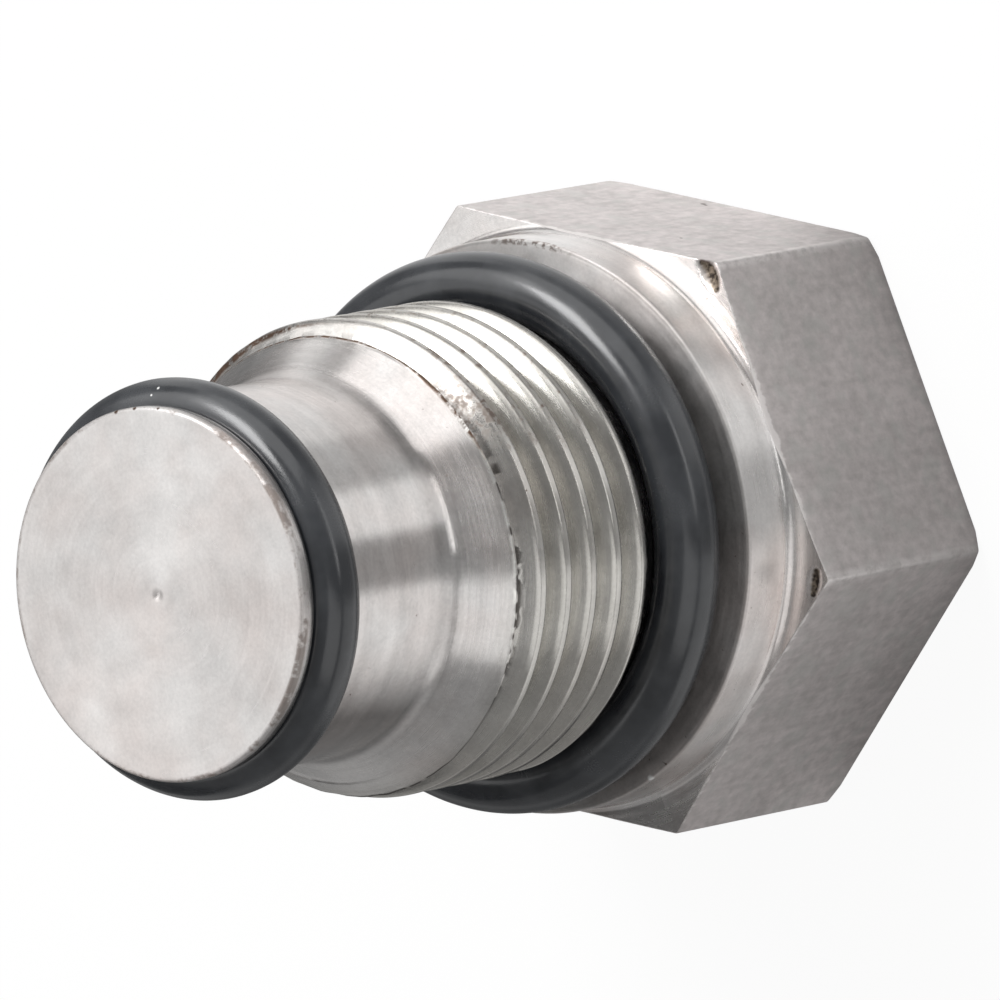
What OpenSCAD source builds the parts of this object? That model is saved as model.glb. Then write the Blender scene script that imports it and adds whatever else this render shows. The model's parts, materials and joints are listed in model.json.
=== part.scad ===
/* [Hexagon head] */
// Width across the flats of the hexagon bar
hex_af = 27; // [25:0.5:32]
// Height of the head, from its flat end to the shoulder under the collar
head_h = 11.7; // [6:0.1:20]
// How far the corners are cut back on the flat end
end_corner_cut = 0.5; // [0.2:0.1:1.8]
// Slope of that cut, in degrees
end_angle = 30; // [10:1:40]
// Width of the flat ring on the shoulder, between the hollow corner and the corner chamfer
shoulder_land = 0.3; // [0.1:0.05:0.8]
// Slope of the corner chamfer on the shoulder side, in degrees
shoulder_angle = 8; // [4:1:30]

/* [Collar] */
// How far the round collar lies inside the flats
collar_step = 0.1; // [0.05:0.05:0.6]
// Length of the collar, from the shoulder to the seal face
collar_len = 3; // [1.5:0.1:6]
// Radius of the hollow corner between the shoulder and the collar
collar_fillet = 0.5; // [0.1:0.05:0.8]
// Bevel on the rim of the seal face
collar_bevel = 0.15; // [0.05:0.05:0.4]

/* [Thread] */
// Outside diameter of the thread
thread_d = 22.2; // [21:0.05:23]
// Length of the thread, from the relief to the start of the lead cone
thread_len = 8.15; // [5:0.05:20]
// Depth of the relief below the crest of the thread
relief_depth = 1.05; // [0.8:0.05:1.3]
// Length of the relief, from the seal face to the first full crest
relief_len = 4.6; // [4.2:0.1:8]
// Radius of the hollow corner between the relief and the seal face
relief_fillet = 0.3; // [0.1:0.05:0.4]

/* [Nose] */
// Diameter of the smooth nose
nose_d = 17.5; // [16.5:0.1:19]
// Length of the nose, from the foot of the lead cone to the ring groove
nose_len = 6.4; // [3:0.1:20]
// Slope of the lead cone, measured from the centre line, in degrees
cone_angle = 36; // [25:1:50]
// Radius of the hollow corner at the foot of the lead cone
cone_fillet = 2; // [0.5:0.1:3]
// How far the front flange lies inside the nose
flange_step = 0.2; // [0.05:0.05:0.5]
// Thickness of the flange in front of the groove
flange_t = 0.8; // [0.5:0.05:2]
// Bevel on the front rim of the flange
flange_bevel = 0.15; // [0.05:0.05:0.4]
// Width of the centre mark in the front face
centre_mark_d = 0.6; // [0.3:0.1:2]
// Depth of the centre mark in the front face
centre_mark_depth = 0.15; // [0.1:0.05:0.4]

/* [Rubber rings] */
// Thickness of the ring in the relief
boss_ring_thickness = 3; // [2:0.05:3.1]
// Thickness of the ring on the nose
nose_ring_thickness = 2.62; // [1.8:0.02:3]
// How far the nose ring stands proud of the nose
nose_ring_proud = 0.9; // [0.4:0.05:1.2]
// Room between a ring and the round it sits on
ring_clear = 0.03; // [0.02:0.01:0.1]
// Room between the nose ring and each wall of its groove
groove_clear = 0.1; // [0.05:0.01:0.5]

/* [Hidden] */

turned_fn = 96;
rubber_fn = 48;
corner_steps = 10;
hex_sides = 6;

// Heights above the flat end of the head
seal_face_z = head_h + collar_len;
thread_z = seal_face_z + relief_len;
cone_z = thread_z + thread_len;
nose_z = cone_z + (thread_d - nose_d) / 2 / tan(cone_angle);
groove_z = nose_z + nose_len;
flange_z = groove_z + nose_ring_thickness + 2 * groove_clear;
total_h = flange_z + flange_t;

// Radii of the head and the collar
hex_r = hex_af / 2 / cos(180 / hex_sides);
lathe_r = hex_r + shoulder_land;
end_flat_r = hex_r - end_corner_cut;
collar_r = hex_af / 2 - collar_step;
shoulder_r = collar_r + collar_fillet + shoulder_land;

// Radii of the thread, its relief and the ring that sits there
thread_r = thread_d / 2;
relief_r = thread_r - relief_depth;
boss_ring_r = relief_r + ring_clear + boss_ring_thickness / 2;
boss_ring_z = seal_face_z + relief_len / 2;

// Radii of the nose, its flange, and the groove that holds the nose ring
nose_r = nose_d / 2;
flange_r = nose_r - flange_step;
nose_ring_r = nose_r + nose_ring_proud - nose_ring_thickness / 2;
nose_ring_z = (groove_z + flange_z) / 2;
groove_r = nose_ring_r - nose_ring_thickness / 2 - ring_clear;

// Points along a round corner, from one angle to another
function corner(centre, radius, from, to) =
    [for (i = [0:corner_steps])
        let (angle = from + (to - from) * i / corner_steps)
        centre + radius * [cos(angle), sin(angle)]];

// Half outline of the head, wider than the bar so that the flats stay on it
head_outline = [
    [0, 0],
    [end_flat_r, 0],
    [lathe_r, (lathe_r - end_flat_r) * tan(end_angle)],
    [lathe_r, head_h - (lathe_r - shoulder_r) * tan(shoulder_angle)],
    [shoulder_r, head_h]];

// Half outline of the collar, up to the rim of the seal face
collar_outline = concat(
    corner([collar_r + collar_fillet, head_h + collar_fillet], collar_fillet, 270, 180),
    [[collar_r, seal_face_z - collar_bevel], [collar_r - collar_bevel, seal_face_z]]);

// Half outline of the relief and the threaded shank
shank_outline = concat(
    corner([relief_r + relief_fillet, seal_face_z + relief_fillet], relief_fillet, 270, 180),
    [[relief_r, thread_z - relief_depth], [thread_r, thread_z], [thread_r, cone_z]]);

// Half outline of the lead cone, the nose, the ring groove and the front flange
nose_outline = concat(
    corner([nose_r + cone_fillet, nose_z + cone_fillet * tan(cone_angle / 2)],
        cone_fillet, 180 + cone_angle, 180),
    [[nose_r, groove_z], [groove_r, groove_z], [groove_r, flange_z], [flange_r, flange_z],
     [flange_r, total_h - flange_bevel], [flange_r - flange_bevel, total_h], [0, total_h]]);

module centre_mark() {
    translate([0, 0, total_h - centre_mark_depth])
        cylinder(h = 2 * centre_mark_depth, r1 = 0, r2 = centre_mark_d, $fn = turned_fn);
}

// One piece, turned from hexagon bar
module plug_body() {
    color("silver")
        difference() {
            intersection() {
                cylinder(h = total_h, r = hex_r, $fn = hex_sides);
                rotate_extrude($fn = turned_fn)
                    polygon(concat(head_outline, collar_outline, shank_outline, nose_outline));
            }
            centre_mark();
        }
}

// Round rubber ring, lying flat at a height
module rubber_ring(radius, thickness, height) {
    color("#1b1c1e")
        translate([0, 0, height])
            rotate_extrude($fn = turned_fn)
                translate([radius, 0]) circle(d = thickness, $fn = rubber_fn);
}

module boss_o_ring() {
    rubber_ring(boss_ring_r, boss_ring_thickness, boss_ring_z);
}

module nose_o_ring() {
    rubber_ring(nose_ring_r, nose_ring_thickness, nose_ring_z);
}

plug_body();
boss_o_ring();
nose_o_ring();
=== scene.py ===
import json
import math
from functools import reduce

import bmesh
import bpy
import numpy as np
from mathutils import Matrix, Vector, noise

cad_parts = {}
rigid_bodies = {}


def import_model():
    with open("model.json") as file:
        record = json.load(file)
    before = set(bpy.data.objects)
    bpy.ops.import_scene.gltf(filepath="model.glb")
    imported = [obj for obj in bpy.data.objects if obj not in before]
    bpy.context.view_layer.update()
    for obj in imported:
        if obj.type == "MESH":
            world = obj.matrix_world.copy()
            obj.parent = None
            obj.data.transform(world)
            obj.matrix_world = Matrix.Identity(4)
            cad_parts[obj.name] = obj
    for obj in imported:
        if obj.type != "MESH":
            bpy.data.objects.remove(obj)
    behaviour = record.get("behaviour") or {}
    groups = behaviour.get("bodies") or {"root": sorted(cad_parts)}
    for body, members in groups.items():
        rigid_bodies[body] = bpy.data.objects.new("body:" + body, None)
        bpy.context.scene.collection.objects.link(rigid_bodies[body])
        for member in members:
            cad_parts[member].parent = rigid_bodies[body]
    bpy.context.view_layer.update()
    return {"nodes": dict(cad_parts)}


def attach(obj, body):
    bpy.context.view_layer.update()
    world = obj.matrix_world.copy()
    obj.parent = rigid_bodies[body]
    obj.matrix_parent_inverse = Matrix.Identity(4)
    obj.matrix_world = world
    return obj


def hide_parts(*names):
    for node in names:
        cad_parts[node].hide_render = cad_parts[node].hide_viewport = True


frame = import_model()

mm = 0.001
print("packed plug loaded:", ", ".join(sorted(frame["nodes"])))

# camera, at the photograph's angle
# The plug's three axes as the camera sees them: right, up, towards the lens
cameraView = {
    "plugX": (-0.32752, 0.93602, -0.12890),
    "plugY": (-0.69932, -0.33190, -0.63307),
    "plugZ": (-0.63534, -0.11721, 0.76329),
    "place": (-10.405, -0.478, 834.2),  # from the middle of the flat end, in mm
    "lens": 640.4,
    "sensor": 36,
}


def makeCamera():
    seen = Matrix([cameraView["plugX"], cameraView["plugY"], cameraView["plugZ"]])
    data = bpy.data.cameras.new("photoCamera")
    data.lens = cameraView["lens"]
    data.sensor_width = cameraView["sensor"]
    data.clip_start = 0.05
    data.clip_end = 5
    camera = newObject("photoCamera", data)
    camera.matrix_world = Matrix.Translation(seen @ Vector(cameraView["place"]) * mm) @ seen.to_4x4()
    bpy.context.scene.camera = camera
    print("camera placed")


# small helpers for node trees and meshes
def addNode(tree, kind, inputs=None, **settings):
    # one node; an input is a plain value or another node's output
    node = tree.nodes.new(kind)
    for name, value in settings.items():
        setattr(node, name, value)
    for key, value in (inputs or {}).items():
        if isinstance(value, bpy.types.NodeSocket):
            tree.links.new(value, node.inputs[key])
        else:
            node.inputs[key].default_value = value
    return node


def mathNode(tree, operation, *values):
    return addNode(tree, "ShaderNodeMath", dict(enumerate(values)), operation=operation).outputs[0]


def vectorNode(tree, operation, inputs):
    return addNode(tree, "ShaderNodeVectorMath", inputs, operation=operation).outputs


def timesPlus(tree, *values):
    return mathNode(tree, "MULTIPLY_ADD", *values)


def folded(tree, operation, values):
    return reduce(lambda one, other: mathNode(tree, operation, one, other), values)


def times(tree, *values):
    return folded(tree, "MULTIPLY", values)


def plus(tree, *values):
    return folded(tree, "ADD", values)


def larger(tree, *values):
    return folded(tree, "MAXIMUM", values)


def newObject(name, data):
    made = bpy.data.objects.new(name, data)
    bpy.context.scene.collection.objects.link(made)
    return made


def newMaterial(name):
    material = bpy.data.materials.new(name)
    material.use_nodes = True
    material.node_tree.nodes.clear()
    return material, material.node_tree


def giveSurface(tree, shader):
    addNode(tree, "ShaderNodeOutputMaterial", {"Surface": shader.outputs[0]})


def noiseOf(tree, where, scale, detail=2.0, roughness=0.5):
    inputs = {"Vector": where, "Scale": scale, "Detail": detail, "Roughness": roughness}
    return addNode(tree, "ShaderNodeTexNoise", inputs).outputs["Fac"]


def spread(tree, value, low, high, toLow=0.0, toHigh=1.0):
    inputs = {"Value": value, "From Min": low, "From Max": high, "To Min": toLow, "To Max": toHigh}
    return addNode(tree, "ShaderNodeMapRange", inputs).outputs["Result"]


def blendColour(tree, factor, first, second):
    node = addNode(tree, "ShaderNodeMix", data_type="RGBA")
    for key, value in ((0, factor), (6, first), (7, second)):
        if isinstance(value, bpy.types.NodeSocket):
            tree.links.new(value, node.inputs[key])
        else:
            node.inputs[key].default_value = value
    return node.outputs[2]


def split(tree, place):
    return addNode(tree, "ShaderNodeSeparateXYZ", {0: place}).outputs


def colour(red, green, blue):
    return (red, green, blue, 1.0)


def plugCoordinates(tree):
    # object place, distance from the centre line and height, all in mm
    place = addNode(tree, "ShaderNodeTexCoord").outputs["Object"]
    scaled = vectorNode(tree, "SCALE", {0: place, "Scale": 1 / mm})[0]
    parts = split(tree, scaled)
    flat = addNode(tree, "ShaderNodeCombineXYZ", {0: parts[0], 1: parts[1]}).outputs[0]
    return scaled, vectorNode(tree, "LENGTH", {0: flat})["Value"], parts[2]


def stretched(tree, where, x, y, z):
    return vectorNode(tree, "MULTIPLY", {0: where, 1: (x, y, z)})[0]


def slopeOf(degrees):
    return math.tan(math.radians(degrees))


def direction(azimuth, elevation):
    a = math.radians(azimuth)
    e = math.radians(elevation)
    return Vector((math.cos(a) * math.cos(e), math.sin(a) * math.cos(e), math.sin(e)))


def makeObject(name, mesh, nodeName):
    piece = newObject(name, mesh)
    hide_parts(nodeName)
    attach(piece, "root")
    return piece


# materials
steelLook = {
    "clean": colour(0.69, 0.672, 0.66),
    "pink": colour(0.65, 0.605, 0.585),
    "olive": colour(0.53, 0.515, 0.475),
    # colour of the painted highlight on the burr's lip
    "lip": colour(0.95, 0.94, 0.90),
    "broken": colour(0.20, 0.165, 0.13),
    "stain": colour(0.15, 0.10, 0.075),
    # near-black painted shade, in the groove behind the burr and in the broken places
    "shadeBlack": colour(0.035, 0.028, 0.024),
    "markDepth": 0.0030 * mm,
    "drawnOut": 0.55,  # how much the turning marks draw out a reflection
    "oliveShare": 0.8,
    "grooveShadeShare": 0.85,
    "dirtRough": 0.4,
    # painted light: how much paler part of the shoulder is painted
    "paintedShoulderLight": 0.28,
    "burrDepth": 0.05 * mm,
    # places of small nicks and specks: x, y, z and radius, in mm
    "nicks": [
        (8.43, -1.2, 40.64, 0.16),
        (8.47, -0.4, 40.55, 0.12),
        (8.2, -2.3, 40.66, 0.13),
        (7.7, -3.6, 40.62, 0.10),
    ],
    "specks": [(-13.15, -2.2, 14.62, 0.20)],
}
barLook = {
    "pale": colour(0.715, 0.665, 0.655),
    "dark": colour(0.525, 0.49, 0.48),
    "green": colour(0.55, 0.555, 0.53),
    # colour of the painted highlight along the edges
    "rim": colour(0.82, 0.78, 0.765),
    "nick": colour(0.10, 0.075, 0.065),
    "grainDepth": 0.007 * mm,
    "rimHeight": (11.98, 12.10),
    "cornerRadius": (15.38, 15.50),
    "cornerSide": (-3.0, -8.0, 0.1, 1.0),
    # painted shade on the side flats, by height
    "fadeHeight": (0.0, 7.0, 0.30, -0.13),
    "fadeSide": (7.85, 7.75),
    "nicks": [(12.48, -5.38, 0.92, 0.17), (12.36, -5.60, 1.05, 0.11), (10.14, -9.43, 8.35, 0.10)],
}
rubberLook = {
    "black": colour(0.024, 0.026, 0.030),
    "grey": colour(0.042, 0.045, 0.050),
    "dust": colour(0.75, 0.75, 0.74),
    "grainDepth": 0.005 * mm,
}
# broken places on the shoulder's corners: x, y, z, radius and depth, in mm
chips = [
    (8.10, -12.72, 11.58, 0.30, 0.12),
    (7.90, -12.84, 11.56, 0.42, 0.18),
    (7.68, -12.92, 11.54, 0.48, 0.22),
    (7.44, -12.96, 11.54, 0.50, 0.22),
    (7.18, -13.00, 11.54, 0.46, 0.20),
    (6.92, -13.00, 11.56, 0.38, 0.14),
    (6.70, -13.00, 11.58, 0.28, 0.08),
    (-7.20, -13.02, 11.56, 0.24, 0.10),
    (-7.38, -12.90, 11.55, 0.30, 0.14),
    (-7.56, -12.78, 11.55, 0.32, 0.16),
    (-7.74, -12.66, 11.55, 0.32, 0.16),
    (-7.92, -12.54, 11.55, 0.28, 0.12),
    (-8.08, -12.42, 11.58, 0.22, 0.08),
]


def nearSpots(tree, place, spots):
    # 1 close to any of the given places, 0 away from them
    near = []
    for x, y, z, size in spots:
        away = vectorNode(tree, "DISTANCE", {0: place, 1: (x, y, z)})["Value"]
        near.append(spread(tree, away, size, size * 0.5))
    return larger(tree, *near)


def between(tree, value, low, high, soft):
    rise = spread(tree, value, low - soft, low + soft)
    return times(tree, rise, spread(tree, value, high + soft, high - soft))


# where the zones of the turned steel lie. Two numbers: from none to all of it; three: where it
# starts and ends, and how softly; four: two numbers and the amounts at either end
steelZones = {
    # heights above the flat end, in mm
    "noseHeight": (29.9, 30.4),
    "faceHeight": (40.56, 40.66),
    "sealHeight": (14.66, 14.74, 0.02),
    "threadFromHeight": (18.0, 19.5),
    "threadToHeight": (29.0, 26.5),
    "burrHeight": (27.55, 28.95, 0.05),
    "crestHeight": (20.0, 27.5, 0.4),
    "firstTurnsHeight": (25.9, 28.2, 0.35),
    "flangeRimHeight": (40.2, 40.4),
    "collarRimHeight": (14.42, 14.75, 0.06),
    "collarEdgeHeight": (14.52, 14.75, 0.02),
    "collarHeight": (12.2, 14.55, 0.05),
    "shoulderFromHeight": (11.3, 11.4),
    "shoulderToHeight": (11.8, 11.74),
    "hollowHeight": (30.15, 31.3, 0.15),
    # distances from the centre line, in mm
    "sealRadius": (10.2, 10.4),
    "threadRadius": (11.14, 11.0, 0.8, 1.0),
    "burrRadius": (10.05, 10.2),
    "grooveRadius": (10.6, 10.4),
    "flankRadius": (11.2, 11.0, 0.5, 1.0),
    "flangeRimRadius": (8.30, 8.42),
    "collarRimRadius": (13.10, 13.20),
    "collarEdgeRadius": (13.2, 13.26),
    "collarRadius": (13.3, 13.36),
    "shoulderRadius": (14.5, 14.2),
    "hollowRadius": (8.6, 8.7),
    # turns round the plug from +X, in radians
    "heavyFromTurn": (-1.52, -1.32),
    "heavyToTurn": (2.1, 1.2),
    "broadTurn": (-1.42, -0.88, 0.12),
    "upperTurn": (-0.75, 0.60, 0.15),
    "crestTurn": (-1.42, -0.20, 0.15),
    "flankTurn": (-1.40, -1.00, 0.12),
    "smudgeTurn": (-0.62, -0.30, 0.06),
    "lipTurn": (-2.35, -1.20, 0.15),
    "farEndLowTurn": (-2.45, -2.65, 0.0, 0.2),
    "farEndHighTurn": (2.6, 2.8, 0.0, 0.2),
    "shoulderLightTurn": (-1.25, -0.60, 0.1),
    "shoulderTurn": (-0.45, -0.75),
    "stainTurn": (-1.24, -0.88, 0.16),
    # distances from the edge that the lead cone cuts, in mm
    "coneSide": (-0.02, 0.02),
    "threadSide": (0.0, -0.1),
    "edgeAway": (1.2, 0.7),  # as a share of the dirt's width there
    "lineAway": (0.13, 0.07),
    "lipAway": (0.06, 0.20, 0.05),
    "grooveBelow": (0.46, 0.70, 0.07),
    "crestAway": (0.34, 0.14),
}
# noises of the turned steel: scale, detail and roughness
steelNoises = {
    "wander": (0.22, 1.0),
    "fineMarks": (7.0, 2.0, 0.6),
    "wideMarks": (1.1, 2.0, 0.5),
    "patches": (0.17, 3.0, 0.55),
    "clouds": (0.55, 3.0, 0.6),
    "crumbs": (2.6, 3.0, 0.65),
    "dashes": (1.0, 1.0),
    "haze": (0.42, 2.0),
    "speckle": (5.5, 2.0, 0.6),
}
# which part of a noise shows, and the amounts it gives
steelCuts = {
    "pink": (0.40, 0.62),
    "edgeDirt": (0.36, 0.50),
    "crestDirt": (0.55, 0.66, 0.12, 1.0),
    "flankDirt": (0.44, 0.60, 0.0, 0.8),
    "pits": (0.69, 0.73),
    "pitted": (0.50, 0.60),
    "offFace": (1.0, 0.0, 0.0, 0.7),
    "rimDirt": (0.74, 0.86, 0.0, 0.55),
    "smudges": (0.47, 0.58, 0.0, 0.7),
    "lip": (0.56, 0.48),
    "shadeBlack": (0.49, 0.54),
    "lessShadeWhereHeavy": (1.0, 0.0, 0.3, 1.0),
    "chipShadeAndRust": (0.40, 0.55),
    "ringShade": (0.3, 0.7, -0.07, 0.06),
    "ringsOffFace": (0.0, 1.0, 1.0, 0.25),
    "cloudShade": (0.3, 0.7, -0.10, 0.08),
    "speckleShade": (0.3, 0.7, -0.05, 0.05),
    "hazeShade": (0.3, 0.7, -0.06, 0.05),
    "stain": (0.3, 0.6, 0.7, 1.0),
    "roughMarks": (0.3, 0.7, 0.20, 0.29),
    "roughClouds": (0.3, 0.7, -0.02, 0.03),
}
burrDirt = {
    "width": 0.085,  # of the dirt on the edge, and what two sides add to it, in mm
    "broad": 0.16,
    "upper": 0.06,
    "least": 0.25,  # share left where the burr is light
    "firstTurns": 0.08,  # how much thicker it lies on the first turns
    "onThread": 0.8,
}
# what each zone changes: how pale it is, which is painted shade and light (the seal face and the hollow at
# the nose's foot painted darker, the collar and the ring by the shoulder painted paler, the stained patch
# darker), how rough, and how much its reflections are drawn out
zonePaintedShade = {"seal": -0.15, "hollow": -0.13, "collar": 0.09, "shoulderRing": 0.35, "stainedAndShaded": -0.55}
zoneRough = {"nose": -0.04, "face": 0.12, "rims": 0.28, "collar": 0.06, "stainedAndShaded": 0.12, "seal": 0.22}
zoneGrain = {"nose": 0.15, "seal": 0.22, "face": -0.30, "shoulder": -0.30}


def inZone(tree, value, name):
    limits = steelZones[name]
    return between(tree, value, *limits) if len(limits) == 3 else spread(tree, value, *limits)


def steelNoise(tree, where, name):
    return noiseOf(tree, where, *steelNoises[name])


def cut(tree, value, name):
    return spread(tree, value, *steelCuts[name])


def changed(tree, value, zones, amounts):
    for name, amount in amounts.items():
        value = timesPlus(tree, zones[name], amount, value)
    return value


def burrMasks(tree, place, radius, height):
    # masks along the edge where the lead cone cuts the first thread, by name
    s = threadSize
    parts = split(tree, place)
    turn = mathNode(tree, "ARCTAN2", parts[1], parts[0])
    climb = times(tree, mathNode(tree, "FLOORED_MODULO", turn, 2 * math.pi), s["pitch"] / (2 * math.pi))
    fromCrest = mathNode(tree, "SUBTRACT", mathNode(tree, "SUBTRACT", height, s["crestHeight"]), climb)
    fromCrest = mathNode(tree, "PINGPONG", fromCrest, s["pitch"] / 2)
    down = larger(tree, mathNode(tree, "SUBTRACT", fromCrest, s["crestHalf"]), 0.0)
    flank = timesPlus(tree, down, -1 / slopeOf(s["flankSlope"]), s["crest"])
    slope = slopeOf(s["coneSlope"])
    cone = timesPlus(tree, height, -slope, s["crest"] + s["coneStart"] * slope)
    beyond = times(tree, mathNode(tree, "SUBTRACT", flank, cone), 0.5)
    away = mathNode(tree, "ABSOLUTE", beyond)
    zone = times(tree, inZone(tree, height, "burrHeight"), inZone(tree, radius, "burrRadius"))
    # the side of the plug where the burr is heavy, and where its dirt is broad
    heavy = times(tree, inZone(tree, turn, "heavyFromTurn"), inZone(tree, turn, "heavyToTurn"))
    broad = inZone(tree, turn, "broadTurn")
    upper = times(tree, inZone(tree, turn, "upperTurn"), inZone(tree, beyond, "coneSide"))
    width = timesPlus(tree, broad, burrDirt["broad"], burrDirt["width"])
    width = timesPlus(tree, upper, burrDirt["upper"], width)
    # the groove shows just below the edge, which climbs with the thread
    climbed = timesPlus(tree, climb, -s["edgeClimb"], height)
    below = mathNode(tree, "SUBTRACT", s["edgeHeight"], climbed)
    return {
        "turn": turn,
        "beyond": beyond,
        "heavy": heavy,
        "broad": broad,
        "edge": times(tree, zone, inZone(tree, mathNode(tree, "DIVIDE", away, width), "edgeAway")),
        "line": times(tree, zone, inZone(tree, away, "lineAway")),
        "lip": times(tree, zone, inZone(tree, beyond, "lipAway")),
        "groove": times(tree, inZone(tree, below, "grooveBelow"), inZone(tree, radius, "grooveRadius")),
        "crest": times(tree, inZone(tree, fromCrest, "crestAway"), inZone(tree, height, "crestHeight")),
    }


def steelParts(tree, radius, height, turn):
    # masks of the places on the turned steel, by name
    def level(name):
        return inZone(tree, height, name + "Height")

    def ring(name):
        return inZone(tree, radius, name + "Radius")

    zones = {name: level(name) for name in ("nose", "face")}
    for name in ("seal", "flangeRim", "collarRim", "collarEdge", "collar", "hollow"):
        zones[name] = times(tree, level(name), ring(name))
    zones["thread"] = times(tree, level("threadFrom"), level("threadTo"), ring("thread"))
    zones["shoulder"] = times(tree, level("shoulderFrom"), level("shoulderTo"))
    zones["shoulderRing"] = times(
        tree, zones["shoulder"], ring("shoulder"), inZone(tree, turn, "shoulderTurn"))
    return zones


def steelDirt(tree, place, radius, height, noises, zones, burr):
    # rust and swarf left along the burr, specks on the crests beside it, and a few pits
    def crumbled(name, *masks):
        return times(tree, *masks, cut(tree, noises["crumbs"], name))

    turn = burr["turn"]
    heavy = timesPlus(tree, burr["heavy"], 1 - burrDirt["least"], burrDirt["least"])
    edgeDirt = crumbled("edgeDirt", burr["edge"], heavy)
    firstTurns = times(tree, inZone(tree, height, "firstTurnsHeight"), burr["broad"],
                       inZone(tree, burr["beyond"], "threadSide"))
    thicker = timesPlus(tree, firstTurns, burrDirt["firstTurns"], noises["crumbs"])
    crestDirt = times(tree, burr["crest"], inZone(tree, turn, "crestTurn"), cut(tree, thicker, "crestDirt"))
    flankSide = times(tree, inZone(tree, turn, "flankTurn"), inZone(tree, radius, "flankRadius"))
    flankDirt = crumbled("flankDirt", firstTurns, flankSide)
    threadDirt = times(tree, larger(tree, crestDirt, flankDirt), burrDirt["onThread"])
    pitted = times(tree, cut(tree, noises["patches"], "pitted"), cut(tree, zones["face"], "offFace"))
    pits = crumbled("pits", pitted)
    # dirt on the flange's rim, smudges on the collar's rim
    mottled = timesPlus(tree, noises["crumbs"], 0.5, noises["clouds"])
    rimDirt = times(tree, zones["flangeRim"], cut(tree, mottled, "rimDirt"))
    smudges = crumbled("smudges", zones["collarRim"], inZone(tree, turn, "smudgeTurn"))
    nicks = nearSpots(tree, place, steelLook["nicks"])
    return larger(tree, edgeDirt, pits, threadDirt, nicks, rimDirt, smudges)


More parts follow.
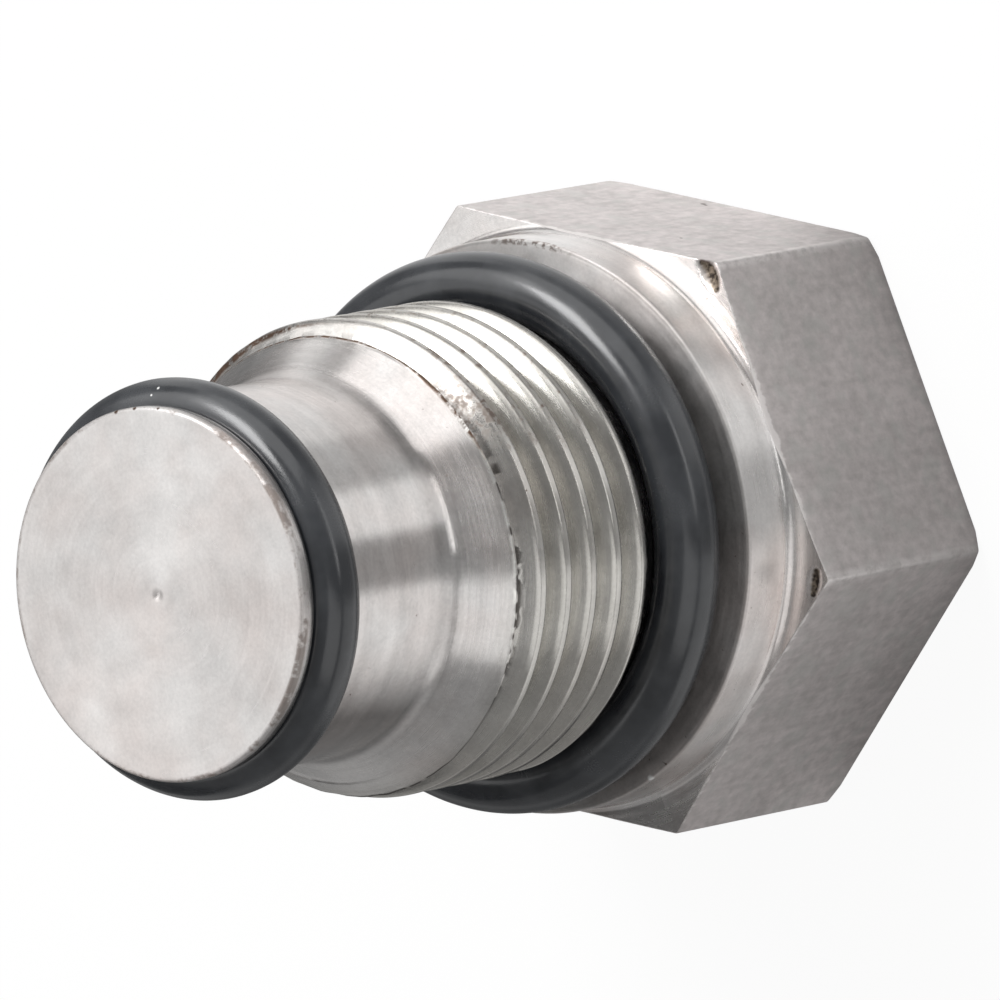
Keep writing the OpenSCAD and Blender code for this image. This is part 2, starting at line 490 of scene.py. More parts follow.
def turnedSteel():
    material, tree = newMaterial("turnedSteel")
    place, radius, height = plugCoordinates(tree)
    placed = ("wander", "patches", "clouds", "crumbs", "dashes", "speckle")
    noises = {name: steelNoise(tree, place, name) for name in placed}
    noises["haze"] = steelNoise(tree, stretched(tree, place, 1.0, 0.6, 1.0), "haze")
    # marks run round the plug, so they depend on the distance from the centre line and the height
    along = timesPlus(tree, noises["wander"], 0.5, height)
    ringPlace = addNode(tree, "ShaderNodeCombineXYZ", {0: radius, 1: along, 2: noises["wander"]}).outputs[0]
    fineMarks = steelNoise(tree, ringPlace, "fineMarks")
    wideMarks = steelNoise(tree, ringPlace, "wideMarks")
    burr = burrMasks(tree, place, radius, height)
    turn = burr["turn"]
    zones = steelParts(tree, radius, height, turn)
    dirty = steelDirt(tree, place, radius, height, noises, zones, burr)

    # colour
    tint = blendColour(tree, cut(tree, noises["patches"], "pink"), steelLook["clean"], steelLook["pink"])
    tint = blendColour(tree, times(tree, zones["thread"], steelLook["oliveShare"]), tint, steelLook["olive"])
    # painted highlight: near-white dashes along the burr's lip
    paintedLipHighlight = times(tree, burr["lip"], inZone(tree, turn, "lipTurn"), cut(tree, noises["dashes"], "lip"))
    tint = blendColour(tree, paintedLipHighlight, tint, steelLook["lip"])
    tint = blendColour(tree, dirty, tint, steelLook["stain"])
    # painted shade: the groove behind the burr, where the burr overhangs it, is painted black in dashes, and
    # all along its far end
    farEnd = plus(tree, inZone(tree, turn, "farEndLowTurn"), inZone(tree, turn, "farEndHighTurn"))
    dashed = cut(tree, plus(tree, noises["dashes"], farEnd), "shadeBlack")
    shadedGroove = times(tree, larger(tree, burr["groove"], burr["line"]), cut(tree, burr["heavy"], "lessShadeWhereHeavy"))
    black = times(tree, shadedGroove, dashed)
    tint = blendColour(tree, times(tree, black, steelLook["grooveShadeShare"]), tint, steelLook["shadeBlack"])
    # the broken places are painted brown rust mixed with near-black painted shade in the notches
    broken = nearSpots(tree, place, [chip[:4] for chip in chips])
    chipShadeAndRust = blendColour(tree, cut(tree, noises["crumbs"], "chipShadeAndRust"), steelLook["shadeBlack"], steelLook["broken"])
    tint = blendColour(tree, broken, tint, chipShadeAndRust)
    specks = nearSpots(tree, place, steelLook["specks"])
    tint = blendColour(tree, specks, tint, rubberLook["dust"])

    # how pale it is: rings, clouds, haze on the face, painted light on the shoulder, and a stain on the
    # collar that is also painted shade
    rings = times(tree, cut(tree, wideMarks, "ringShade"), cut(tree, zones["face"], "ringsOffFace"))
    haze = times(tree, zones["face"], cut(tree, noises["haze"], "hazeShade"))
    # painted light: part of the shoulder is painted paler
    paintedShoulderLight = times(tree, zones["shoulder"], inZone(tree, turn, "shoulderLightTurn"))
    shade = plus(tree, rings, 1.0, cut(tree, noises["clouds"], "cloudShade"),
                 cut(tree, noises["speckle"], "speckleShade"), haze, times(tree, paintedShoulderLight, steelLook["paintedShoulderLight"]))
    # a stain on the collar, made dark enough to dim the reflection there: stain and painted shade
    zones["stainedAndShaded"] = times(
        tree, zones["collar"], inZone(tree, turn, "stainTurn"), cut(tree, noises["clouds"], "stain"))
    # painted shade on the seal face, the hollow at the nose's foot and the stained patch; painted light on
    # the collar and on the ring by the shoulder
    shade = changed(tree, shade, zones, zonePaintedShade)
    tint = vectorNode(tree, "SCALE", {0: tint, "Scale": shade})[0]

    zones["rims"] = larger(tree, zones["collarEdge"], times(tree, zones["flangeRim"], 0.7), broken)
    rough = plus(tree, cut(tree, fineMarks, "roughMarks"), times(tree, dirty, steelLook["dirtRough"]))
    rough = changed(tree, rough, zones, zoneRough)
    rough = plus(tree, rough, cut(tree, noises["clouds"], "roughClouds"))
    markDepth = spread(tree, larger(tree, zones["face"], zones["seal"]), 0.0, 1.0,
                       steelLook["markDepth"], steelLook["markDepth"] * 0.4)
    bump = addNode(tree, "ShaderNodeBump", {"Height": fineMarks, "Distance": markDepth, "Strength": 1.0})
    rugged = times(tree, larger(tree, burr["edge"], black), noises["crumbs"])
    roughBurr = addNode(tree, "ShaderNodeBump", {
        "Height": rugged, "Distance": steelLook["burrDepth"], "Strength": 0.6, "Normal": bump.outputs[0]})
    tangent = addNode(tree, "ShaderNodeTangent", direction_type="RADIAL", axis="Z").outputs[0]
    shader = addNode(tree, "ShaderNodeBsdfPrincipled", {
        "Base Color": tint,
        "Metallic": mathNode(tree, "SUBTRACT", 1.0, specks),
        "Roughness": rough,
        "Anisotropic": changed(tree, steelLook["drawnOut"], zones, zoneGrain),
        "Anisotropic Rotation": 0.25,
        "Tangent": tangent,
        "Normal": roughBurr.outputs[0]})
    giveSurface(tree, shader)
    return material


def drawnBarSteel():
    material, tree = newMaterial("drawnBarSteel")
    place, radius, height = plugCoordinates(tree)
    parts = split(tree, place)
    grain = noiseOf(tree, stretched(tree, place, 1.0, 1.0, 0.8), 2.0, 4.0, 0.55)
    speckle = noiseOf(tree, place, 9.0, 2.0, 0.6)
    draws = noiseOf(tree, stretched(tree, place, 1.0, 1.0, 0.05), 2.6, 2.0, 0.5)
    patches = noiseOf(tree, place, 0.25, 2.0)
    hue = noiseOf(tree, place, 0.8, 2.0)
    mix = plus(tree, times(tree, grain, 0.55), times(tree, draws, 0.15), times(tree, patches, 0.3))
    tint = blendColour(tree, spread(tree, mix, 0.38, 0.62), barLook["dark"], barLook["pale"])
    tint = blendColour(tree, spread(tree, hue, 0.50, 0.65, 0.0, 0.35), tint, barLook["green"])
    # painted highlight: a paler edge along the shoulder, ragged in width, and on the corners near the lens
    ragged = timesPlus(tree, grain, 0.9, height)
    corner = times(
        tree, spread(tree, radius, *barLook["cornerRadius"]), spread(tree, grain, 0.40, 0.55, 0.3, 1.0),
        spread(tree, parts[1], *barLook["cornerSide"]))
    rim = larger(tree, spread(tree, ragged, *barLook["rimHeight"]), corner)
    tint = blendColour(tree, times(tree, rim, 0.8), tint, barLook["rim"])
    # dark nicks on the flats, and the same dark painted into the chips as painted shade in the notches
    nicksAndChipShade = nearSpots(tree, place, barLook["nicks"] + [chip[:4] for chip in chips])
    tint = blendColour(tree, nicksAndChipShade, tint, barLook["nick"])
    # painted shade and light: the side flats are painted paler near the flat end and darker towards the
    # shoulder
    onSide = spread(tree, parts[0], *barLook["fadeSide"])
    paintedSideShade = times(tree, spread(tree, height, *barLook["fadeHeight"]), onSide)
    tint = vectorNode(tree, "SCALE", {0: tint, "Scale": plus(tree, paintedSideShade, 1.0)})[0]
    rough = spread(tree, speckle, 0.3, 0.7, 0.48, 0.62)
    rough = timesPlus(tree, rim, -0.14, rough)
    relief = plus(tree, times(tree, grain, 0.6), times(tree, speckle, 0.4))
    bump = addNode(tree, "ShaderNodeBump", {
        "Height": relief, "Distance": barLook["grainDepth"], "Strength": 0.8})
    shader = addNode(tree, "ShaderNodeBsdfPrincipled", {
        "Base Color": tint, "Metallic": 0.7, "Roughness": rough, "Normal": bump.outputs[0]})
    giveSurface(tree, shader)
    return material


def ringRubber(name, dustSpots):
    # dustSpots: (x, y, z, radius) of pale specks on the ring, in mm
    material, tree = newMaterial(name)
    place = plugCoordinates(tree)[0]
    bloom = noiseOf(tree, place, 0.35, 3.0, 0.55)
    grain = noiseOf(tree, place, 9.0, 3.0, 0.6)
    tint = blendColour(tree, spread(tree, bloom, 0.40, 0.62), rubberLook["black"], rubberLook["grey"])
    if dustSpots:
        tint = blendColour(tree, nearSpots(tree, place, dustSpots), tint, rubberLook["dust"])
    rough = timesPlus(tree, grain, 0.05, spread(tree, bloom, 0.35, 0.65, 0.17, 0.25))
    bump = addNode(tree, "ShaderNodeBump", {
        "Height": grain, "Distance": rubberLook["grainDepth"], "Strength": 0.5})
    shader = addNode(tree, "ShaderNodeBsdfPrincipled", {
        "Base Color": tint, "Roughness": rough, "Specular IOR Level": 0.75, "Normal": bump.outputs[0]})
    giveSurface(tree, shader)
    return material


# plug body: hexagon head, collar, shank, nose
plugSize = {
    "halfFlats": 13.5,
    "cornerRound": 0.22,
    "endFlat": 15.088,  # radius where the corner cut of the flat end starts
    "endSlope": 30,
    "headTop": 11.7,
    "shoulder": 14.2,  # radius where the corner chamfer of the shoulder starts
    "shoulderSlope": 8,
    "collar": 13.4,
    "collarFillet": 0.5,
    "collarEdge": 0.15,
    "sealFace": 14.7,
    "relief": 10.05,
    "reliefFillet": 0.3,
    "nose": 8.75,
    "noseFoot": 30.6845,
    "noseFillet": 2.0,
    "groove": 7.0,
    "grooveLow": 37.0845,
    "grooveHigh": 39.9045,
    "flange": 8.55,
    "flangeEdge": 0.15,
    "top": 40.704,
    "markRadius": 0.3,
    "markDepth": 0.08,
    "flatRows": (9, 22),  # rows of faces that belong to the six flats
    "joinWithin": 0.0015,
    "shortest": 0.0004,
    "sharpFrom": 38,  # degrees between two faces
}
threadSize = {
    "pitch": 1.8143,
    "crest": 11.1,
    "root": 10.05,
    "crestHalf": 0.22,  # half the flat on top of a crest
    "crestRound": 0.12,
    "rowPull": 0.0945,  # how far the rows are drawn towards the crests, in mm
    "rootRound": 0.22,
    "flankSlope": 30,
    "crestHeight": 27.298,  # a crest's height on the side that faces +X
    "edgeHeight": 27.187,  # height there of the edge that the lead cone cuts, and its climb
    "edgeClimb": 0.7045,
    "runOut": 18.25,  # height where the 45 degree run-out starts
    "coneStart": 27.45,
    "coneSlope": 36,
    "rowsDown": 80,  # rows of faces below and above that crest, whole pitches of 16
    "rowsUp": 16,
    "rowsPerPitch": 16,
    "columns": 384,
    "cornerPull": 0.7,  # how strongly the columns gather at the hexagon's corners
    "mergeWithin": 0.002,
}
rowHeight = threadSize["pitch"] / threadSize["rowsPerPitch"]
threadLow = threadSize["crestHeight"] - threadSize["rowsDown"] * rowHeight
threadHigh = threadSize["crestHeight"] + threadSize["rowsUp"] * rowHeight
# where the rows of faces lie along the plug: heights or distances from the centre line, in mm
meshRows = {
    "end": (0, 2, 4, 6, 8, 10, 11.5, 12.8),
    "endCorner": ((0.12, 0), (0.036, 0.02), (0.0, 0.10)),  # inwards and upwards
    "sideShares": (0.04, 0.15, 0.3, 0.45, 0.6, 0.75, 0.88, 0.96, 1.0),
    "shoulder": (15.4, 15.25, 15.1, 14.95, 14.8, 14.65, 14.5, 14.35),
    "collarFillet": (12, 25, 38, 51, 64, 77, 84),  # in degrees
    "collarShares": (0.25, 0.5, 0.75, 0.93, 1.0),
    "seal": (13.1, 12.6, 12.0, 11.4, 10.9, 10.5),
    "edgeTurns": (0.4, 0.8, 1.2),  # in radians
    "relief": (15.3, 15.9, 16.7, 17.4),
    "cone": (29.4, 29.7, 29.95, 30.1),
    "nose": (31.8, 32.6, 33.6, 34.6, 35.6, 36.4, 36.85, 37.0),
    "groove": (37.8, 38.5, 39.2),
    "flange": (40.1, 40.3, 40.48),
    "face": (8.25, 7.8, 7, 6, 5, 4, 3, 2, 1.2, 0.7, 0.45),
}


def columnAngles():
    even = np.arange(threadSize["columns"]) * 2 * math.pi / threadSize["columns"]
    return even - threadSize["cornerPull"] * np.sin(6 * even) / 6


def coneRadius(height):
    slope = slopeOf(threadSize["coneSlope"])
    return threadSize["crest"] - (height - threadSize["coneStart"]) * slope


def barRadius(angles):
    # distance from the centre line to the hexagon with its rounded corners
    half = plugSize["halfFlats"]
    rounding = plugSize["cornerRound"]
    off = np.abs((angles + math.pi / 6) % (math.pi / 3) - math.pi / 6)
    flat = half / np.cos(math.pi / 6 - off)
    reach = (half - rounding) / math.cos(math.pi / 6)
    arc = reach * np.cos(off) + np.sqrt(np.maximum(rounding ** 2 - (reach * np.sin(off)) ** 2, 0))
    onArc = reach * np.sin(off) < rounding * np.sin(math.pi / 6 - off)
    return np.where(onArc, arc, flat)


def shoulderHeight(radius):
    # the hollow corner at the collar, a flat ring, then the corner chamfer
    p = plugSize
    fillet = p["collarFillet"]
    foot = p["collar"] + fillet
    hollow = p["headTop"] + fillet - np.sqrt(np.maximum(fillet ** 2 - (foot - radius) ** 2, 0))
    fall = np.maximum(radius - p["shoulder"], 0) * slopeOf(p["shoulderSlope"])
    return np.where(radius < foot, hollow, p["headTop"] - fall)


def endHeight(radius):
    return np.maximum(radius - plugSize["endFlat"], 0) * slopeOf(plugSize["endSlope"])


def headRings(bar):
    # from the middle of the flat end, round the hexagon, to the top of the collar's hollow corner
    p = plugSize
    edge = np.minimum(0.05, 0.4 * (bar - p["collar"]))
    rings = [(bar * 0 + r, bar * 0) for r in meshRows["end"]]
    corner = meshRows["endCorner"]
    inner = np.minimum(bar - corner[0][0], p["endFlat"])
    rings.append((inner, endHeight(inner)))
    for back, up in corner:
        rings.append((bar - back, endHeight(bar - back) + up))
    side = endHeight(bar) + corner[-1][1]
    top = shoulderHeight(bar) - edge
    for share in meshRows["sideShares"]:
        rings.append((bar, side + (top - side) * share))
    rings.append((bar - edge * 0.3, shoulderHeight(bar - edge * 0.3) - edge * 0.3))
    outer = bar - edge
    rings.append((outer, shoulderHeight(outer)))
    fillet = p["collarFillet"]
    foot = p["collar"] + fillet
    land = (p["shoulder"], (p["shoulder"] + foot) / 2, foot)
    hollow = [foot - fillet * math.sin(math.radians(a)) for a in meshRows["collarFillet"]]
    for r in (math.inf, *meshRows["shoulder"], *land, *hollow):
        reached = np.minimum(outer - 0.02, r)
        rings.append((reached, shoulderHeight(reached)))
    rings.append((bar * 0 + p["collar"], bar * 0 + p["headTop"] + fillet))
    return rings


def roundedEdge(radius, height, size):
    turns = meshRows["edgeTurns"]
    return [(radius - size * (1 - math.cos(a)), height - size * (1 - math.sin(a))) for a in turns]


def collarRings(flat):
    p = plugSize
    r = p["collar"]
    z = p["sealFace"]
    e = p["collarEdge"]
    low = p["headTop"] + p["collarFillet"]
    points = [(r, low + (z - e - low) * share) for share in meshRows["collarShares"]]
    points += roundedEdge(r, z, e)
    points += [(s, z) for s in (r - e, *meshRows["seal"])]
    f = p["reliefFillet"]
    corner = p["relief"] + f
    for a in (0, *meshRows["edgeTurns"], math.pi / 2):
        points.append((corner - f * math.sin(a), z + f * (1 - math.cos(a))))
    points += [(p["relief"], s) for s in (*meshRows["relief"], threadLow)]
    return [(flat + out, flat + up) for out, up in points]


def noseRings(flat):
    p = plugSize
    nose = p["nose"]
    fillet = p["noseFillet"]
    slope = math.radians(threadSize["coneSlope"])
    centreHeight = p["noseFoot"] + fillet * math.tan(slope / 2)
    points = [(coneRadius(z), z) for z in (threadHigh, *meshRows["cone"])]
    for step in range(11):
        a = slope * (1 - step / 10)
        points.append((nose + fillet - fillet * math.cos(a), centreHeight - fillet * math.sin(a)))
    points += [(nose, z) for z in meshRows["nose"]]
    # the ring groove, with small round corners
    low = p["grooveLow"]
    high = p["grooveHigh"]
    inside = p["groove"]
    points += [(nose - 0.025, low - 0.0245), (nose - 0.085, low), (8.3, low), (7.6, low)]
    points += [(inside + 0.1, low), (inside + 0.03, low + 0.03), (inside, low + 0.1)]
    points += [(inside, z) for z in (*meshRows["groove"], high - 0.1)]
    points += [(inside + 0.03, high - 0.03), (inside + 0.1, high), (7.8, high)]
    # the flange and the front face with its centre mark
    top = p["top"]
    e = p["flangeEdge"]
    outside = p["flange"]
    points += [(outside - 0.07, high), (outside - 0.02, high + 0.02)]
    points += [(outside, z) for z in (high + 0.07, *meshRows["flange"], top - e)]
    points += roundedEdge(outside, top, e)
    points += [(r, top) for r in (outside - e, *meshRows["face"])]
    mark = p["markRadius"]
    points += [(mark + 0.06, top), (mark - 0.03, top - 0.012), (0.13, top - 0.05)]
    points += [(0, top - p["markDepth"])]
    return [(flat + out, flat + up) for out, up in points]


def skinRings(name, rings, angles):
    # a mesh of faces between rings that follow each other from the flat end to the nose
    columns = len(angles)
    radii = np.array([r for r, z in rings])
    heights = np.array([z for r, z in rings])
    points = np.stack([radii * np.cos(angles), radii * np.sin(angles), heights], 2).reshape(-1, 3) * mm
    first = np.arange(columns)
    second = (first + 1) % columns
    faces = []
    for row in range(len(rings) - 1):
        low = row * columns
        high = low + columns
        faces += np.stack([low + first, low + second, high + second, high + first], 1).tolist()
    mesh = bpy.data.meshes.new(name)
    mesh.from_pydata(points.tolist(), [], faces)
    return mesh


def threadTree(material):
    # the threaded shank as a grid whose rows climb with the helix
    tree = bpy.data.node_groups.new("cutThread", "GeometryNodeTree")
    tree.is_modifier = True
    face = tree.interface
    face.new_socket("Geometry", in_out="INPUT", socket_type="NodeSocketGeometry")
    kept = ("pitch", "crest", "root", "crestHalf", "rootRound", "crestRound", "rowPull", "crestHeight",
            "runOut", "coneStart", "cornerPull")
    sizes = {name: threadSize[name] for name in kept}
    sizes["low"] = threadLow
    sizes["high"] = threadHigh
    for name in ("flankSlope", "coneSlope"):
        sizes[name] = slopeOf(threadSize[name])
    counts = {
        "columns": threadSize["columns"] + 1,
        "rows": threadSize["rowsDown"] + threadSize["rowsUp"] + threadSize["rowsPerPitch"] + 1,
    }
    for name in sizes:
        face.new_socket(name, in_out="INPUT", socket_type="NodeSocketFloat")
    for name in counts:
        face.new_socket(name, in_out="INPUT", socket_type="NodeSocketInt")
    face.new_socket("Geometry", in_out="OUTPUT", socket_type="NodeSocketGeometry")
    given = addNode(tree, "NodeGroupInput").outputs
    pitch = given["pitch"]
    low = given["low"]
    high = given["high"]

    def work(operation, *values):
        return mathNode(tree, operation, *values)

    grid = addNode(tree, "GeometryNodeMeshGrid", {
        "Size X": 1.0, "Size Y": 1.0, "Vertices X": given["columns"], "Vertices Y": given["rows"]})
    position = addNode(tree, "GeometryNodeInputPosition").outputs[0]
    place = split(tree, position)
    # columns gather at the hexagon's corners, as they do on the head
    turn = work("MULTIPLY", work("ADD", place[0], 0.5), 2 * math.pi)
    waves = work("SINE", work("MULTIPLY", turn, 6.0))
    angle = work("SUBTRACT", turn, work("MULTIPLY", waves, work("DIVIDE", given["cornerPull"], 6.0)))
    climb = work("MULTIPLY", work("DIVIDE", angle, 2 * math.pi), pitch)
    # rows gather towards the crests, so the crests come out round
    span = work("ADD", work("SUBTRACT", high, low), pitch)
    row = work("MULTIPLY_ADD", work("ADD", place[1], 0.5), span, work("SUBTRACT", low, pitch))
    perTurn = work("DIVIDE", 2 * math.pi, pitch)
    crestAt = work("MULTIPLY", work("SUBTRACT", row, given["crestHeight"]), perTurn)
    row = work("SUBTRACT", row, work("MULTIPLY", work("SINE", crestAt), given["rowPull"]))
    height = work("MINIMUM", work("MAXIMUM", work("ADD", row, climb), low), high)
    # distance along the plug to the nearest crest, then the flank down from it
    fromCrest = work("SUBTRACT", height, work("ADD", given["crestHeight"], climb))
    fromCrest = work("PINGPONG", fromCrest, work("MULTIPLY", pitch, 0.5))
    past = work("SUBTRACT", fromCrest, given["crestHalf"])
    drop = work("DIVIDE", work("SMOOTH_MAX", past, 0.0, given["crestRound"]), given["flankSlope"])
    flank = work("SUBTRACT", given["crest"], drop)
    cutRadius = work("SMOOTH_MAX", flank, given["root"], given["rootRound"])
    # the run-out at the low end and the lead cone at the high end
    pastRunOut = work("MAXIMUM", work("SUBTRACT", height, given["runOut"]), 0.0)
    runOut = work("ADD", given["root"], pastRunOut)
    coneFall = work("MULTIPLY", work("SUBTRACT", height, given["coneStart"]), given["coneSlope"])
    cone = work("SUBTRACT", given["crest"], coneFall)
    radius = work("MULTIPLY", work("MINIMUM", cutRadius, work("MINIMUM", runOut, cone)), mm)
    target = addNode(tree, "ShaderNodeCombineXYZ", {
        0: work("MULTIPLY", radius, work("COSINE", angle)),
        1: work("MULTIPLY", radius, work("SINE", angle)),
        2: work("MULTIPLY", height, mm)}).outputs[0]
    moved = addNode(tree, "GeometryNodeSetPosition", {"Geometry": grid.outputs[0], "Position": target})
    merged = addNode(tree, "GeometryNodeMergeByDistance", {
        "Geometry": moved.outputs[0], "Distance": threadSize["mergeWithin"] * mm})
    real = addNode(tree, "GeometryNodeRealizeInstances", {"Geometry": merged.outputs[0]})
    painted = addNode(tree, "GeometryNodeSetMaterial", {"Geometry": real.outputs[0], "Material": material})
    addNode(tree, "NodeGroupOutput", {"Geometry": painted.outputs[0]})
    return tree, {**sizes, **counts}


def threadMesh(material):
    tree, sizes = threadTree(material)
    maker = newObject("threadMaker", bpy.data.meshes.new("threadMaker"))
    modifier = maker.modifiers.new("cutThread", "NODES")
    modifier.node_group = tree
    for item in tree.interface.items_tree:
        if item.in_out == "INPUT" and item.name in sizes:
            modifier[item.identifier] = sizes[item.name]
    graph = bpy.context.evaluated_depsgraph_get()
    mesh = bpy.data.meshes.new_from_object(maker.evaluated_get(graph))
    maker.modifiers.remove(modifier)
    bpy.data.objects.remove(maker)
    mesh.polygons.foreach_set("material_index", [0] * len(mesh.polygons))
    print("thread cut:", len(mesh.vertices), "points")
    return mesh


def threadCutRadius(angle, height):
    # the same profile as the tree's, for finding the burr
    s = threadSize
    climb = angle / (2 * math.pi) * s["pitch"]
    away = np.abs((height - s["crestHeight"] - climb + s["pitch"] / 2) % s["pitch"] - s["pitch"] / 2)
    flank = s["crest"] - np.maximum(away - s["crestHalf"], 0) / slopeOf(s["flankSlope"])
    return np.maximum(flank, s["root"])


burrSize = {
    "reach": 0.30,  # how far from the edge the burr reaches, in mm of radius
    "height": 0.045,
    "grain": 1300.0,
    "low": 27.5,  # the burr lies between these heights and outside this radius
    "high": 28.95,
    "inside": 9.95,
    "least": 0.05,
    "raised": 0.35,  # raises the ragged noise, so that most of the edge has a burr
    "lean": 0.6,  # how far the lip leans towards the nose
}
chipShape = {"low": 10.8, "high": 12, "reach": 1.1, "depth": 0.4, "inwards": 0.6, "roundness": 1.5}


def raiseBurr(mesh):
    # a ragged lip where the lead cone cuts the first thread
    count = len(mesh.vertices)
    flatList = np.empty(count * 3)
    mesh.vertices.foreach_get("co", flatList)
    points = flatList.reshape(-1, 3)
    x, y, z = points.T / mm
    radius = np.hypot(x, y)
    angle = np.arctan2(y, x) % (2 * math.pi)
    gap = np.abs(threadCutRadius(angle, z) - coneRadius(z))
    near = (z > burrSize["low"]) & (z < burrSize["high"]) & (radius > burrSize["inside"])
    burr = np.where(near, np.exp(-(gap / burrSize["reach"]) ** 2), 0.0)
    for index in np.nonzero(burr > burrSize["least"])[0]:
        ragged = noise.noise(Vector(points[index]) * burrSize["grain"]) + burrSize["raised"]
        lift = burr[index] * max(ragged, 0) * burrSize["height"] * mm
        outward = Vector((x[index], y[index], 0)).normalized() + Vector((0, 0, burrSize["lean"]))
        points[index] += np.array(outward) * lift
    mesh.vertices.foreach_set("co", points.reshape(-1))


def breakCorners(mesh):
    # press the broken places into the shoulder's corners
    shape = chipShape
    for vertex in mesh.vertices:
        if not shape["low"] * mm <= vertex.co.z <= shape["high"] * mm:
            continue
        for x, y, z, size, depth in chips:
            away = (vertex.co / mm - Vector((x, y, z))).length / (size * shape["reach"])
            if away < 1:
                inward = -Vector((x, y, 0)).normalized() * shape["inwards"] - Vector((0, 0, 1))
                pressed = depth * shape["depth"] * (1 - away ** 2) ** shape["roundness"]
                vertex.co += inward * pressed * mm


def makePlugBody():
    angles = columnAngles()
    bar = barRadius(angles)
    flat = np.zeros(len(angles))
    turned = turnedSteel()
    drawn = drawnBarSteel()
    lower = skinRings("lowerPart", headRings(bar) + collarRings(flat), angles)
    # the six flats and their edges keep the bar's drawn surface
    slots = np.zeros(len(lower.polygons), dtype=np.int32)
    firstRow, lastRow = plugSize["flatRows"]
    slots[firstRow * len(angles):lastRow * len(angles)] = 1
    lower.polygons.foreach_set("material_index", slots)
    build = bmesh.new()
    for part in (lower, threadMesh(turned), skinRings("upperPart", noseRings(flat), angles)):
        build.from_mesh(part)
    bmesh.ops.remove_doubles(build, verts=build.verts, dist=plugSize["joinWithin"] * mm)
    bmesh.ops.dissolve_degenerate(build, dist=plugSize["shortest"] * mm, edges=build.edges)
    openEdges = sum(1 for edge in build.edges if len(edge.link_faces) != 2)
    for f in build.faces:
        f.smooth = True
    mesh = bpy.data.meshes.new("plugBody")
    build.to_mesh(mesh)
    build.free()
    mesh.materials.append(turned)
    mesh.materials.append(drawn)
    raiseBurr(mesh)
    breakCorners(mesh)
    mesh.set_sharp_from_angle(angle=math.radians(plugSize["sharpFrom"]))
    print("plug body:", len(mesh.polygons), "faces,", openEdges, "open edges")
    return makeObject("plugBody", mesh, "plug_body")


# the two rubber rings
bossRing = {
    "name": "bossRing",
    "radius": 11.58,
    "section": 1.5,
    "height": 17.0,
    "around": 288,
    "sides": 56,
    "partingLine": 0.012,
    "waviness": 0.010,
    "dust": [],
}
noseRing = {
    "name": "noseRing",
    "radius": 8.34,
    "section": 1.31,
    "height": 38.495,
    "around": 256,
    "sides": 52,
    "partingLine": 0.010,
    "waviness": 0.008,
    "dust": [(8.78, -2.96, 39.42, 0.09), (8.59, -2.62, 39.64, 0.07)],
}


def makeRing(size, nodeName):
    # a moulded ring with its thin parting line and a little waviness
    around = np.arange(size["around"]) * 2 * math.pi / size["around"]
    sides = np.arange(size["sides"]) * 2 * math.pi / size["sides"]
    points = []
    for turn in around:
        wave = size["waviness"] * math.sin(3 * turn + 0.7) * math.sin(2 * turn)
        for side in sides:
            line = size["partingLine"] * math.exp(-(math.sin(side) / 0.06) ** 2)
            thick = size["section"] - size["waviness"] + wave * 0.5 + line * 0.5
            r = size["radius"] + thick * math.cos(side)
            points.append((r * math.cos(turn) * mm, r * math.sin(turn) * mm,
                           (size["height"] + thick * math.sin(side) + wave) * mm))
    faces = []
    n = size["sides"]
    for i in range(size["around"]):
        k = (i + 1) % size["around"]
        for j in range(n):
            m = (j + 1) % n
            faces.append((i * n + j, k * n + j, k * n + m, i * n + m))
    mesh = bpy.data.meshes.new(size["name"])
    mesh.from_pydata(points, [], faces)
    mesh.polygons.foreach_set("use_smooth", [True] * len(faces))
    mesh.materials.append(ringRubber(size["name"] + "Rubber", size["dust"]))
    print(size["name"], "moulded")
    return makeObject(size["name"], mesh, nodeName)


# floor, world and lamps
studio = {
    "floorHalf": 1.5,
    "floorLow": -0.02 * mm,
    "floorPale": colour(0.95, 0.95, 0.95),
    "floorWhiteCamera": 0.93,
    "floorWhiteGlossy": 0.45,
    "floorTone": 0.86,
    # painted shadow, which the camera doesn't see: the floor falls off to grey on one side: its direction
    # from +X in degrees, where the fall-off starts and ends in mm from the centre line, and the share that is
    # left
    "greySide": 110,
    "greyFrom": 2,
    "greyTo": 22,
    "greyLeft": 0.20,
    # and a painted contact shadow close in front of the head
    "nearSide": -115,
    "nearFrom": 25,
    "nearTo": 18,
    "nearAcross": (0.2, 0.6),
    "nearLeft": 0.18,
    "bandFill": 1.7,  # how much of a band is full, and how soft its sides are
    "bandSoft": 0.3,
    "worldFill": 0.29,
    "lampAim": 20,  # height that the lamps face, in mm
}
# painted shadows and pools of painted light on the floor, soft bands which the turned steel mirrors:
# direction and reach to either side in degrees, where a band starts and is full in mm from the centre line,
# and tone, below 1 a shadow and above 1 a glow
paintedFloorShadeAndLight = {
    "lensBand": (-106, 17, 18, 34, 0.42),
    "sideBand": (-49, 20, 14, 24, 0.62),
    "farBand": (-32, 50, 42, 70, 0.55),
    "lowFarBand": (150, 70, 45, 100, 2.7),
    "topGlow": (41, 60, 12, 15, 1.2),
    "leftGlow": (-139, 24, 20, 30, 1.16),
    "rightGlow": (-78, 17, 17, 25, 1.26),
}
# azimuth from +X and elevation in degrees, distance, width and height in metres, power in watts
lamps = {
    "keyLamp": (-5, 52, 0.55, 0.20, 0.28, 1.6),
    "sideLamp": (17, 38, 0.55, 0.42, 0.34, 0.66),
    "leftLamp": (78, 50, 0.55, 0.40, 0.40, 0.42),
    "topLamp": (-27, 22, 0.50, 0.55, 0.40, 0.90),
    "backLamp": (-140, 34, 0.50, 0.32, 0.46, 0.35),
    "lowLamp": (-88, 7, 0.60, 0.40, 0.08, 0.24),
}
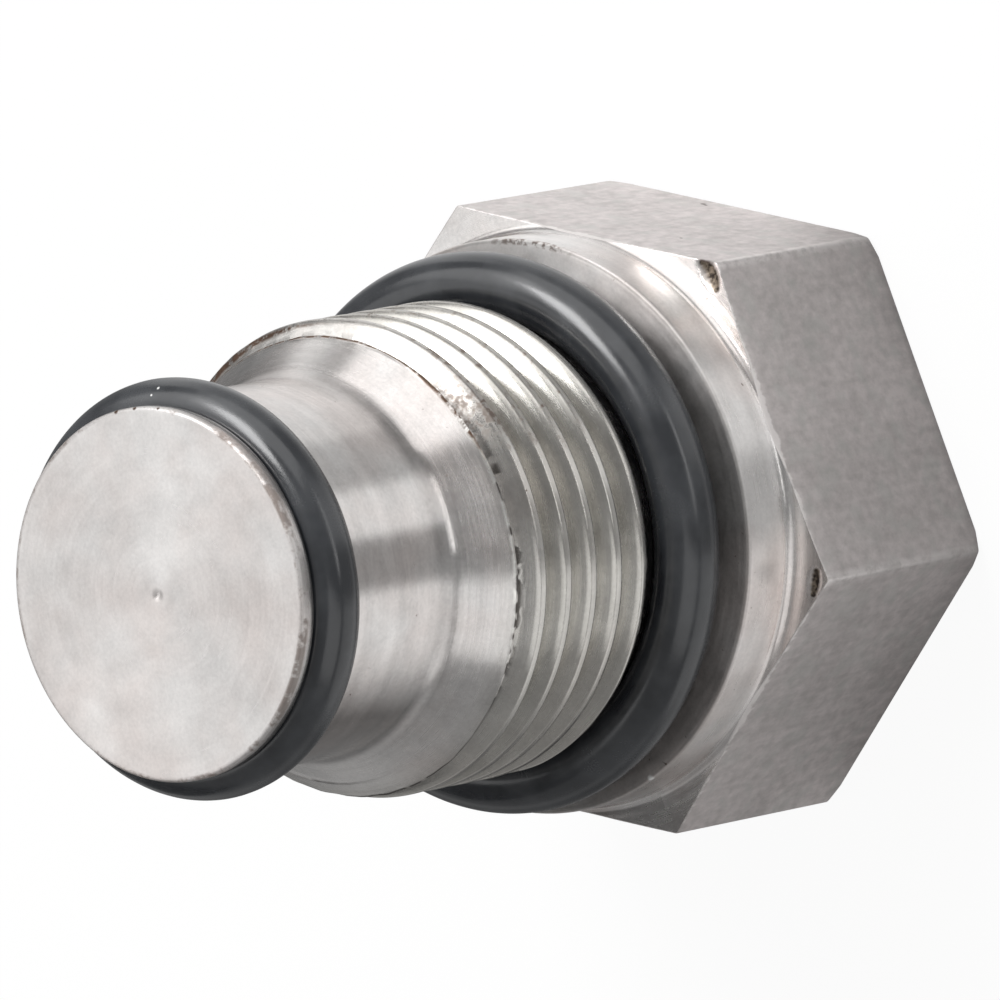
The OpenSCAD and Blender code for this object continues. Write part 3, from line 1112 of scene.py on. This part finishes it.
# a dark card that only the steel's reflections see, painted shade in them: middle and size in mm, the way it
# faces in degrees
reflectionShadeCard = {
    "middle": (-18.3, 30.2, 37),
    "width": 28,
    "height": 32,
    "azimuth": -101.5,
    "elevation": -50,
    "tone": 0.22,
}


def stageObject(name, corners, material):
    mesh = bpy.data.meshes.new(name)
    mesh.from_pydata(corners, [], [(0, 1, 2, 3)])
    mesh.materials.append(material)
    piece = newObject(name, mesh)
    return piece


def mirroredFloor(tree):
    # the tones of the floor that the steel mirrors: painted shadow where it falls off and in its dark bands,
    # painted light in its bright bands
    place = addNode(tree, "ShaderNodeTexCoord").outputs["Object"]
    out = vectorNode(tree, "SCALE", {0: place, "Scale": 1 / mm})[0]
    reach = vectorNode(tree, "LENGTH", {0: out})["Value"]
    heading = vectorNode(tree, "NORMALIZE", {0: out})[0]

    def towards(vector, side):
        return vectorNode(tree, "DOT_PRODUCT", {0: vector, 1: direction(side, 0)})["Value"]

    grey = towards(out, studio["greySide"])
    tone = spread(tree, grey, studio["greyFrom"], studio["greyTo"], 1.0, studio["greyLeft"])
    tone = times(tree, tone, studio["floorTone"])
    near = times(tree, spread(tree, towards(heading, studio["nearSide"]), *studio["nearAcross"]),
                 spread(tree, reach, studio["nearFrom"], studio["nearTo"]))
    tone = times(tree, tone, spread(tree, near, 0.0, 1.0, 1.0, studio["nearLeft"]))
    for side, halfWidth, start, full, bandTone in paintedFloorShadeAndLight.values():
        across = spread(tree, towards(heading, side), math.cos(math.radians(halfWidth)), 1.0)
        across = times(tree, across, studio["bandFill"])
        across = mathNode(tree, "SMOOTH_MIN", across, 1.0, studio["bandSoft"])
        inside = times(tree, across, spread(tree, reach, start, full))
        tone = times(tree, tone, spread(tree, inside, 0.0, 1.0, 1.0, bandTone))
    return tone


def makeFloor():
    material, tree = newMaterial("paleFloor")
    path = addNode(tree, "ShaderNodeLightPath").outputs
    seen = path["Is Camera Ray"]
    mirrored = plus(tree, path["Is Glossy Ray"], path["Is Transmission Ray"])
    share = plus(tree, times(tree, seen, studio["floorWhiteCamera"]),
                 times(tree, mirrored, studio["floorWhiteGlossy"]))
    # the camera sees an even floor
    tone = larger(tree, mirroredFloor(tree), seen)
    tint = blendColour(tree, tone, colour(0, 0, 0), studio["floorPale"])
    # where the tone is above 1 the floor glows: painted light in reflections
    glow = blendColour(tree, tone, colour(0, 0, 0), colour(1, 1, 1))
    diffuse = addNode(tree, "ShaderNodeBsdfDiffuse", {"Color": tint})
    white = addNode(tree, "ShaderNodeEmission", {"Color": glow, "Strength": 1.0})
    shader = addNode(tree, "ShaderNodeMixShader", {0: share, 1: diffuse.outputs[0], 2: white.outputs[0]})
    giveSurface(tree, shader)
    half = studio["floorHalf"]
    low = studio["floorLow"]
    corners = [(-half, -half, low), (half, -half, low), (half, half, low), (-half, half, low)]
    stageObject("studioFloor", corners, material)


def makeCard():
    turn = direction(reflectionShadeCard["azimuth"], reflectionShadeCard["elevation"]).to_track_quat("Z", "Y")
    corners = []
    for right, up in ((-1, -1), (1, -1), (1, 1), (-1, 1)):
        corner = turn @ Vector((right * reflectionShadeCard["width"] / 2, up * reflectionShadeCard["height"] / 2, 0))
        corners.append((corner + Vector(reflectionShadeCard["middle"])) * mm)
    material, tree = newMaterial("reflectionShadeCardPaper")
    tone = reflectionShadeCard["tone"]
    giveSurface(tree, addNode(tree, "ShaderNodeBsdfDiffuse", {"Color": colour(tone, tone, tone)}))
    # the card only darkens reflections: painted shade
    piece = stageObject("reflectionShadeCard", corners, material)
    piece.visible_camera = False
    piece.visible_shadow = False
    piece.visible_diffuse = False


def makeWorld():
    world = bpy.data.worlds.new("studioWorld")
    world.use_nodes = True
    tree = world.node_tree
    tree.nodes.clear()
    seen = addNode(tree, "ShaderNodeLightPath").outputs["Is Camera Ray"]
    fill = addNode(tree, "ShaderNodeBackground", {"Color": colour(1, 1, 1), "Strength": studio["worldFill"]})
    white = addNode(tree, "ShaderNodeBackground", {"Color": colour(1, 1, 1), "Strength": 1.0})
    sky = addNode(tree, "ShaderNodeMixShader", {0: seen, 1: fill.outputs[0], 2: white.outputs[0]})
    addNode(tree, "ShaderNodeOutputWorld", {"Surface": sky.outputs[0]})
    bpy.context.scene.world = world


def makeLamps():
    aim = Vector((0, 0, studio["lampAim"] * mm))
    for name, (azimuth, elevation, distance, width, height, power) in lamps.items():
        data = bpy.data.lights.new(name, "AREA")
        data.shape = "RECTANGLE"
        data.size = width
        data.size_y = height
        data.energy = power
        light = newObject(name, data)
        away = direction(azimuth, elevation)
        light.location = aim + away * distance
        light.rotation_mode = "QUATERNION"
        light.rotation_quaternion = away.to_track_quat("Z", "Y")
        light.visible_camera = False
    print("lamps hung:", ", ".join(lamps))


makeCamera()
makePlugBody()
makeRing(bossRing, "boss_o_ring")
makeRing(noseRing, "nose_o_ring")
makeFloor()
makeCard()
makeWorld()
makeLamps()
bpy.context.scene.view_settings.view_transform = "Standard"
